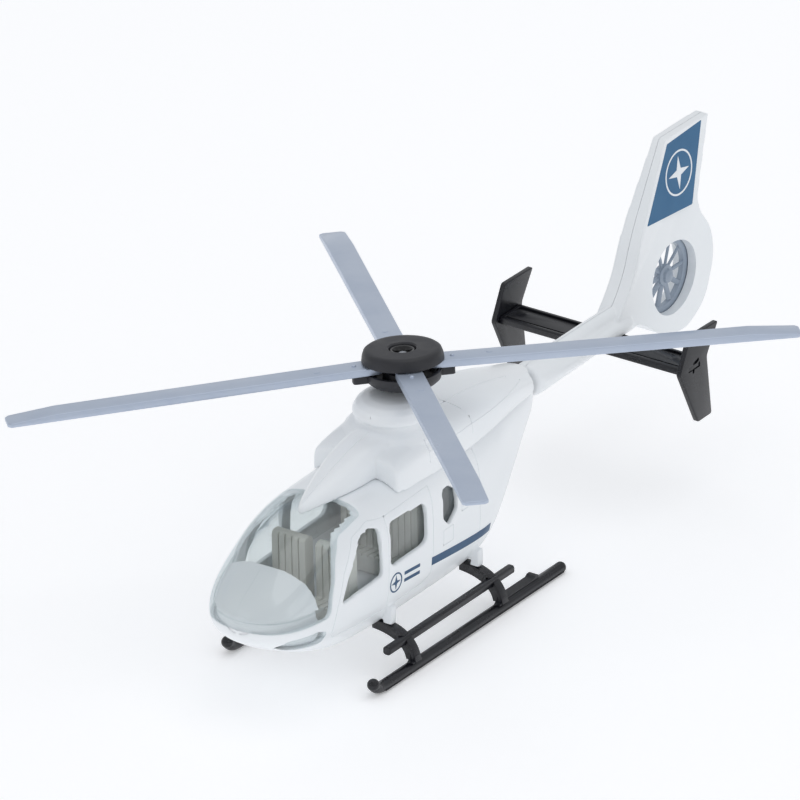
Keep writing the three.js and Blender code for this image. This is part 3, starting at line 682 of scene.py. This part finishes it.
bar_low, bar_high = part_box("stabiliser")
tray_end = 27.15
tray_section = [(85, 37.5), (94.5, 37.5), (94.5, 39.5), (85, 39.5)]
tray = plate("stabiliser_tray", tray_section, -tray_end, tray_end, 0.5)
hollow_section = [(86.1, 38.5), (93.4, 38.5), (93.4, 42), (86.1, 42)]
pip_profile = [(0, 38), (1.3, 38), (1.3, 39.1), (0.7, 39.3), (0, 39.3)]
for side in (1, -1):
    near, far = sorted((side * 6, side * (tray_end - 1)))
    boolean(tray, "DIFFERENCE", plate("hollow", hollow_section, near, far, 0.3))
    pip = turned("pip", pip_profile, place(side * 22.5, 90.6, 0), 32)
    boolean(tray, "UNION", pip)
tenon_corners = [(87.25, 37.9), (92.25, 37.9), (92.25, 39.1), (87.25, 39.1)]
boolean(tray, "UNION", plate("tenon", tenon_corners, bar_low.x / mm, bar_high.x / mm, 0))
round_edges(tray, 0.15, 50)
finish_piece(tray, "fuselage", "black_plastic", gloss_black, "stabiliser")
end_plate_edge = [(83.3, 38.5), (87.9, 47.6), (100.7, 47.3), (95.6, 39.5), (97.9, 22.4), (91.5, 22.3)]
hook_slot = [(88.9, 36.9), (89.7, 36.9), (90.1, 38.9), (91.9, 39.7), (91.8, 40.6), (89.3, 39.9)]
tenon_hole = [(87.15, 37.8), (92.35, 37.8), (92.35, 39.2), (87.15, 39.2)]
for side, low, high, notch_low, notch_high in (("left", 27.3, 28.7, 28.2, 30),
                                               ("right", -28.7, -27.3, -30, -28.2)):
    fin_plate = plate(f"fin_plate_{side}", end_plate_edge, low, high, 0.7)
    round_edges(fin_plate, 0.22, 50)
    boolean(fin_plate, "DIFFERENCE",
            plate("tenon_hole", tenon_hole, low - 1, high + 1, 0),
            plate("hook", hook_slot, notch_low, notch_high, 0.2))
    finish_piece(fin_plate, "fuselage", "black_plastic", gloss_black, f"end_plate_{side}")

# ---- landing gear: four legs, two skids, two step bars ----
# Glossy black polystyrene mouldings: each leg is an arched web with a thick rib round its outer edge and a
# gusset on the skid; the skids turn up in a ball at the front, and a step bar goes through both legs.
skid_x, skid_radius, skid_axis_z = 22, 1.5, 1.4
leg_root_x, leg_root_z, leg_width = 10, 11.8, 3.4
leg_foot_z = 3.05
step_x, step_z, step_half = 19.6, 8.2, 1.12


def leg_arcs(outer_in, inner_out):
    # the arch between its outer edge moved in, and its inner edge moved out
    outer_x = skid_x + leg_width / 2 - outer_in
    inner_x = skid_x - leg_width / 2 + inner_out
    outer = arc((leg_root_x, leg_root_z - outer_in), (outer_x - 1.5, leg_root_z - outer_in),
                (outer_x, leg_foot_z), 14)
    inner = arc((inner_x, leg_foot_z), (inner_x - 1.2, leg_root_z - leg_width + inner_out),
                (leg_root_x, leg_root_z - leg_width + 0.6 + inner_out), 14)
    return outer + inner


for place_name, leg_y in leg_places.items():
    for side_name, side in (("left", 1), ("right", -1)):
        leg = plate(f"leg_moulding_{place_name}_{side_name}", leg_arcs(0.3, 0),
                    leg_y - 0.62, leg_y + 0.62, 0, "Y")
        rib = plate("rib", leg_arcs(0, leg_width - 1.05), leg_y - 1.3, leg_y + 1.3, 0, "Y")
        collar_zone = [(step_x - 2, step_z - 2), (step_x + 2, step_z - 2), (step_x + 2, step_z + 2),
                       (step_x - 2, step_z + 2)]
        collar = plate("collar", collar_zone, leg_y - 1.15, leg_y + 1.15, 1.6, "Y")
        boolean(collar, "INTERSECT", plate("collar_zone", leg_arcs(0.1, 0.1), leg_y - 2, leg_y + 2, 0, "Y"))
        gusset_edge = [(leg_y - 2.1, 2.9), (leg_y + 2.1, 2.9), (leg_y + 0.5, 4.6), (leg_y - 0.5, 4.6)]
        gusset = plate("gusset", gusset_edge, skid_x - 0.5, skid_x + 1.35, 0)
        boolean(leg, "UNION", rib, collar, gusset)
        round_edges(leg, 0.2, 50)
        bar_hole = [(step_x + a * (step_half + 0.08), step_z + b * (step_half + 0.08))
                    for a, b in ((-1, -1), (1, -1), (1, 1), (-1, 1))]
        boolean(leg, "DIFFERENCE", plate("bar_hole", bar_hole, leg_y - 3, leg_y + 3, 0.5, "Y"))
        if side < 0:
            leg.data.transform(Matrix.Diagonal((-1, 1, 1, 1)))
            leg.data.flip_normals()
        finish_piece(leg, "fuselage", "black_plastic", gloss_black, f"{place_name}_leg_{side_name}")


ball_y, ball_z = -46.6, 3.4
skid_front_y, skid_rear_y = -44, 38.5
for side_name, side in (("left", 1), ("right", -1)):
    x = side * skid_x
    bend = arc((skid_front_y + 2, skid_axis_z), (skid_front_y - 1.6, skid_axis_z + 0.1), (ball_y, ball_z), 8)
    nose_bend = [place(x, y, z) for y, z in bend]
    rear_round = [place(x, skid_rear_y, skid_axis_z)]
    skid = tube(f"skid_moulding_{side_name}", rear_round + nose_bend, skid_radius)
    ends = []
    for end_y, end_z, end_radius in ((skid_rear_y, skid_axis_z, skid_radius),
                                     (ball_y, ball_z, skid_radius + 0.12)):
        bpy.ops.mesh.primitive_uv_sphere_add(segments=32, ring_count=16, radius=end_radius * mm,
                                             location=place(x, end_y, end_z))
        ends.append(settle(bpy.context.object))
    near, far = sorted((side * (skid_x - 2.3), side * (skid_x + 0.4)))
    block_edge = [(13.2, 0.5), (27.9, 0.5), (27.9, 3.9), (26.6, 3.9), (25.9, 3.3), (13.2, 3.3)]
    block = plate("block", block_edge, near, far, 0.15)
    line_near, line_far = sorted((side * (skid_x + 1.2), side * (skid_x + 1.56)))
    line = plate("mould_line", [(-43, 0.62), (38, 0.62), (38, 0.84), (-43, 0.84)], line_near, line_far, 0)
    boolean(skid, "UNION", *ends, block, line)
    boolean(skid, "DIFFERENCE", plate("below", [(-60, -5), (60, -5), (60, 0), (-60, 0)], x - 5, x + 5, 0))
    round_edges(skid, 0.08, 55, 2)
    finish_piece(skid, "fuselage", "black_plastic", gloss_black, f"skid_{side_name}")
    bar_section = [(x_side * step_half + side * step_x, z_side * step_half + step_z)
                   for x_side, z_side in ((-1, -1), (1, -1), (1, 1), (-1, 1))]
    bar = plate(f"step_moulding_{side_name}", bar_section, -37, 19.6, 0.75, "Y", 5)
    round_edges(bar, 0.16, 50)
    finish_piece(bar, "fuselage", "black_plastic", gloss_black, f"step_bar_{side_name}")

# ---- rotor head: dish, cap and rivet ----
# Matt black nylon dish and cap clamp the blades; the head leans a little on its upright steel rivet. Handling
# leaves paler smudges on the cap, and the ring pressed into its recess is glossy.
hub_axis = Vector((-0.0965, 0.0563, 1)).normalized()
hub_height = 68.1
upright_to_axis = Vector((0, 0, 1)).rotation_difference(hub_axis).to_matrix().to_4x4()
lean = Matrix.Translation(place(0, 0, hub_height)) @ upright_to_axis
origin = Vector((0, 0, 0))
hub_black = plastic("black_moulded_nylon", "#111114", "#2E2F36", 0.46, 4.5, 0.45, 0.3)
dish = turned("rotor_dish_moulding", [
    (2.1, -5.2), (5.4, -5.3), (8.4, -4.6), (9.4, -3.7), (9.75, -2.6), (9.75, -1.3), (8.9, -1.3), (8.8, -2.4),
    (7.4, -3.5), (5.4, -3.6), (5.0, -1.5), (2.1, -1.5)], origin, 96)
tabs = []
for azimuth in (45, -135):
    tab = plate("tab", [(8.2, -1.6), (13.1, -1.6), (13.1, 1.6), (8.2, 1.6)], 0, 1.9, 0.8, "Z")
    tab_turn = Matrix.Rotation(math.radians(azimuth), 4, "Z")
    tab.data.transform(tab_turn @ Matrix.Translation((0, -mast_y, -3.6 * mm)))
    tabs.append(tab)
boolean(dish, "UNION", *tabs)
round_edges(dish, 0.2, 50)
dish.data.transform(lean)
finish_piece(dish, "rotor_head", "hub_plastic", hub_black, "rotor_dish")
cap = turned("rotor_cap_moulding", [
    (2.1, 1.35), (9.2, 1.35), (10.35, 1.2), (10.5, 1.4), (10.3, 2.8), (9.9, 3.9), (9.3, 4.35), (8.4, 4.45),
    (6, 4.4), (3.9, 4.5), (3.45, 4.2), (3.3, 2.4), (2.1, 2.4)], origin, 96)
round_edges(cap, 0.18, 45)
cap.data.transform(lean)
finish_piece(cap, "rotor_head", "hub_plastic", hub_black, "rotor_cap")
gloss_ring_black = plastic("black_glossy_acetal", "#050506", "#0B0B0E", 0.16, 4, 0.6, 0.05)
ring = turned("recess_ring", [
    (1.9, 2.5), (3.25, 2.5), (3.3, 3.6), (3.05, 3.95), (2.6, 3.9), (2.1, 3.3), (1.9, 2.8)], origin, 64)
ring.data.transform(lean)
finish_piece(ring, "rotor_head", "hub_plastic", gloss_ring_black)
bright_steel = plastic("turned_steel", "#C9CCD1", "#AEB3BA", 0.28, 2, 0.2, 0.1, metallic=1.0)
rivet_head_z = hub_height + 2.2
rivet = turned("rotor_rivet_turned", [
    (0, 52), (1.3, 52), (1.3, rivet_head_z), (1.5, rivet_head_z), (1.55, rivet_head_z + 0.5),
    (1.2, rivet_head_z + 0.9), (0.6, rivet_head_z + 1.1), (0, rivet_head_z + 1.14)], place(0, 0, 0), 48)
finish_piece(rivet, "fuselage", "steel", bright_steel, "rotor_rivet")

# ---- rotor blades and their pins ----
# Silver-grey dyed polystyrene with a pearly face; each blade is modelled once at its pivot and copied.
blade_silver = plastic("silver_dyed_polystyrene", "#C3CDDD", "#B0BCCF", 0.33, 14, 0.3, 0.12,
                       metallic=0.45)
pivot_radius = 8
blade_reach = 94
blade_half_chord, blade_half_thick = 3.4, 1.0
tip_taper, tip_thickness = 13, 1.0
pin_radius = 1.1
# each blade's azimuth and droop in degrees
blades = {"front_left": (-46, 0.3), "front_right": (-135, 1.8),
          "rear_right": (134, 0.3), "rear_left": (45, 1.8)}

root_steps = 10
root_round = [(-blade_half_chord * math.sin(math.pi * n / root_steps),
               blade_half_chord * math.cos(math.pi * n / root_steps)) for n in range(root_steps + 1)]
blade_edge = root_round + [
    (blade_reach - 1.2, -blade_half_chord), (blade_reach - 0.2, -blade_half_chord + 0.9),
    (blade_reach, blade_half_chord - 1.0), (blade_reach - 0.8, blade_half_chord)]
blade_model = plate("blade_model", blade_edge, -blade_half_thick, blade_half_thick, 0, "Z")
blade_model.data.transform(Matrix.Translation((0, -mast_y, 0)))
taper_edge = [(blade_reach - tip_taper, blade_half_thick),
              (blade_reach + 3, tip_thickness - blade_half_thick - 0.2),
              (blade_reach + 3, 4), (blade_reach - tip_taper, 4)]
boolean(blade_model, "DIFFERENCE", plate("taper", taper_edge, -9 - mast_y / mm, 9 - mast_y / mm, 0, "Y"))
round_edges(blade_model, 0.3, 35, 3)
pip = turned("pip", [(0, 0.8), (0.62, 0.8), (0.5, 1.25), (0.25, 1.4), (0, 1.45)],
             Vector((4.6 * mm, 0, 0)), 24)
gate = turned("gate", [(0, 0.8), (0.85, 0.8), (0.75, 1.1), (0, 1.15)], Vector((14.2 * mm, 0.6 * mm, 0)), 24)
boolean(blade_model, "UNION", pip, gate)
boolean(blade_model, "DIFFERENCE", turned("pin_bore", [(0, -3), (1.25, -3), (1.25, 3), (0, 3)], origin, 32))
for blade_name, (azimuth, droop) in blades.items():
    turn = math.radians(azimuth)
    blade = duplicate(blade_model, f"blade_moulding_{blade_name}")
    pivot = Matrix.Translation((pivot_radius * mm * math.cos(turn), pivot_radius * mm * math.sin(turn), 0))
    swing = Matrix.Rotation(turn, 4, "Z") @ Matrix.Rotation(math.radians(droop), 4, "Y")
    blade.data.transform(lean @ pivot @ swing)
    finish_piece(blade, f"blade_{blade_name}", "blade_plastic", blade_silver, f"rotor_blade_{blade_name}")
    pin = turned(f"pivot_pin_{blade_name}", [
        (0, -2.95), (0.9, -2.95), (pin_radius, -2.7), (pin_radius, 2.7), (0.9, 2.95), (0, 2.95)], origin, 32)
    pin.data.transform(lean @ pivot)
    finish_piece(pin, "rotor_head", "steel", bright_steel, f"blade_pin_{blade_name}")
bpy.data.objects.remove(blade_model)

# ---- inside of the cabin ----
# Pale grey polystyrene: a domed dashboard under the glass, a floor, a rear bulkhead, two ribbed seats and a
# bench. All are seen through the clear moulding.
cabin_grey = plastic("pale_grey_polystyrene", "#EFF0F2", "#E2E4E8", 0.42, 12, 0.5, 0.12)
seat_grey = plastic("grey_seat_polystyrene", "#D3D2CA", "#C4C3BB", 0.55, 7, 0.45, 0.2)
for node in ("cabin_floor", "rear_bulkhead"):
    for holder in frame["nodes"][node].material_slots:
        holder.material = cabin_grey
dash_edge = [(-76, 22), (-64, 17), (-58, 16.6), (-58.4, 25), (-60.4, 33), (-61.4, 38), (-76, 38)]
dash = pulled_body("dashboard", pod_sections, inset=glass_wall + 0.35)
boolean(dash, "INTERSECT", plate("dash_keep", dash_edge, -16, 16, 1.2))
band_space = plate("band_space", [(-80, 24.1), (-50, 24.1), (-50, 27.3), (-80, 27.3)], -20, 20, 0)
boolean(band_space, "DIFFERENCE", pulled_body("band_core", pod_sections, inset=glass_wall + 1.4))
boolean(dash, "DIFFERENCE", band_space)
cast(dash, coarse_voxel, 3)
finish_piece(dash, "fuselage", "interior_grey", cabin_grey, "dash_cover")

seat_profile = [(-47, 17.4), (-47, 21.2), (-41.6, 20.4), (-42.2, 35), (-41.4, 35.8), (-39.4, 35.8),
                (-38.6, 35), (-37.6, 15.5), (-46, 15.5)]
groove_half = 0.22
rib_edge = [(-42.9, 21), (-41.3, 20.6), (-41.6, 37), (-42.9, 37)]
squab_edge = [(-48, 20.6), (-41.5, 19.8), (-41.5, 22.5), (-48, 22.5)]
rib_pitch = 2.0


def seat(name, low, high, shift, *nodes):
    # a moulded seat with upright ribs down its back and across its squab
    made = plate(name, [(y + shift, z) for y, z in seat_profile], low, high, 0.5)
    grooves = []
    count = round((high - low) / rib_pitch)
    for number in range(1, count):
        x = low + (high - low) * number / count
        for edge in (rib_edge, squab_edge):
            shifted = [(y + shift, z) for y, z in edge]
            grooves.append(plate("groove", shifted, x - groove_half, x + groove_half, 0))
    boolean(made, "DIFFERENCE", *grooves)
    round_edges(made, 0.3, 40, 3)
    return finish_piece(made, "fuselage", "seat_plastic", seat_grey, *nodes)


seat("seat_left", 1.6, 11.6, 0, "front_seat_left")
seat("seat_right", -11.6, -1.6, 0, "front_seat_right")
seat("bench", -11.6, 11.6, 31, "rear_bench")

# ---- belly screws ----
# Cross-head steel screws that hold the pod and the cabin tray together.
slot_long, slot_half = 1.1, 0.2
slot_low, slot_high = 8, 9.3
for screw_name, screw_y in (("front", -40), ("rear", 2)):
    screw = turned(f"screw_{screw_name}", [
        (0, 8.85), (1.5, 8.8), (1.85, 9.1), (1.9, 9.7), (1, 9.8), (1, 12.2), (0, 13)],
        place(0, screw_y, 0), 40)
    for along, across_half in ((slot_long, slot_half), (slot_half, slot_long)):
        slot = [(screw_y - along, slot_low), (screw_y + along, slot_low),
                (screw_y + along, slot_high), (screw_y - along, slot_high)]
        boolean(screw, "DIFFERENCE", plate("slot", slot, -across_half, across_half, 0))
    finish_piece(screw, "fuselage", "steel", bright_steel, f"belly_screw_{screw_name}")

# ---- printed markings ----
# Pad-printed blue and white ink that stands slightly proud: a plain band and a compass rose on each side of
# the pod, and a blue panel with a white ringed rose on both faces of the fin.
fin_blue = plastic("blue_pad_printing_ink", "#056491", "#045684", 0.36, 10, 0.3, 0.05)
door_blue = plastic("dark_blue_pad_printing_ink", "#26557C", "#1E4A6E", 0.38, 10, 0.3, 0.05)
ink_white = plastic("white_pad_printing_ink", "#F4F7FA", "#E9EEF3", 0.4, 10, 0.3, 0.05)


def rose(centre, long, short):
    # a four-pointed compass rose
    return [(centre[0] + (short if number % 2 else long) * math.cos(number * math.pi / 4),
             centre[1] + (short if number % 2 else long) * math.sin(number * math.pi / 4))
            for number in range(8)]


def ink_ring(name, low, high, centre, outer, inner):
    made = drum(name, outer, low, high, *centre, 64)
    return boolean(made, "DIFFERENCE", drum("ring_hole", inner, low - 1, high + 1, *centre, 64))


ink_proud, ink_sunk = 0.07, 0.12
pod_film = pulled_body("pod_film", pod_sections, inset=-ink_proud)
boolean(pod_film, "DIFFERENCE", pulled_body("under_film", pod_sections, inset=ink_sunk))
side_band = [(-10.7, 20.4), (18.4, 17.8), (18.4, 20.0), (-10.7, 22.6)]
door_mark = (-27, 22.3)
for side_name, low, high in (("left", 4, 20), ("right", -20, -4)):
    marks = plate("marks", side_band, low, high, 0)
    strokes = [plate("stroke", [(-23.2, z), (-16.2, z - 0.5), (-16.2, z + 0.4), (-23.2, z + 0.9)],
                     low, high, 0) for z in (20.9, 22.9)]
    boolean(marks, "UNION", plate("rose", rose(door_mark, 2.0, 0.6), low, high, 0),
            ink_ring("ring", low, high, door_mark, 2.7, 2.3), *strokes)
    print_on = duplicate(pod_film, f"side_print_{side_name}")
    boolean(print_on, "INTERSECT", marks)
    finish_piece(print_on, "fuselage", "body_paint", door_blue)
bpy.data.objects.remove(pod_film)

panel = [(133.4, 83.3), (117.6, 82.7), (106.9, 64.2), (127.4, 62.4)]
fin_mark = (122.1, 73.2)
for side_name, side in (("left", 1), ("right", -1)):
    near, far = sorted((side * (fin_half - 0.3), side * (fin_half + ink_proud)))
    blue_panel = taper_fin(plate(f"fin_panel_{side_name}", panel, near, far, 0.3))
    finish_piece(blue_panel, "fuselage", "tail_plastic", fin_blue)
    near, far = sorted((side * fin_half, side * (fin_half + 2 * ink_proud)))
    white = ink_ring(f"fin_rose_{side_name}", near, far, fin_mark, 6.1, 5.6)
    boolean(white, "UNION", plate("rose", rose(fin_mark, 4.6, 1.3), near, far, 0))
    finish_piece(taper_fin(white), "fuselage", "tail_plastic", ink_white)

bpy.data.objects.remove(pod_solid)
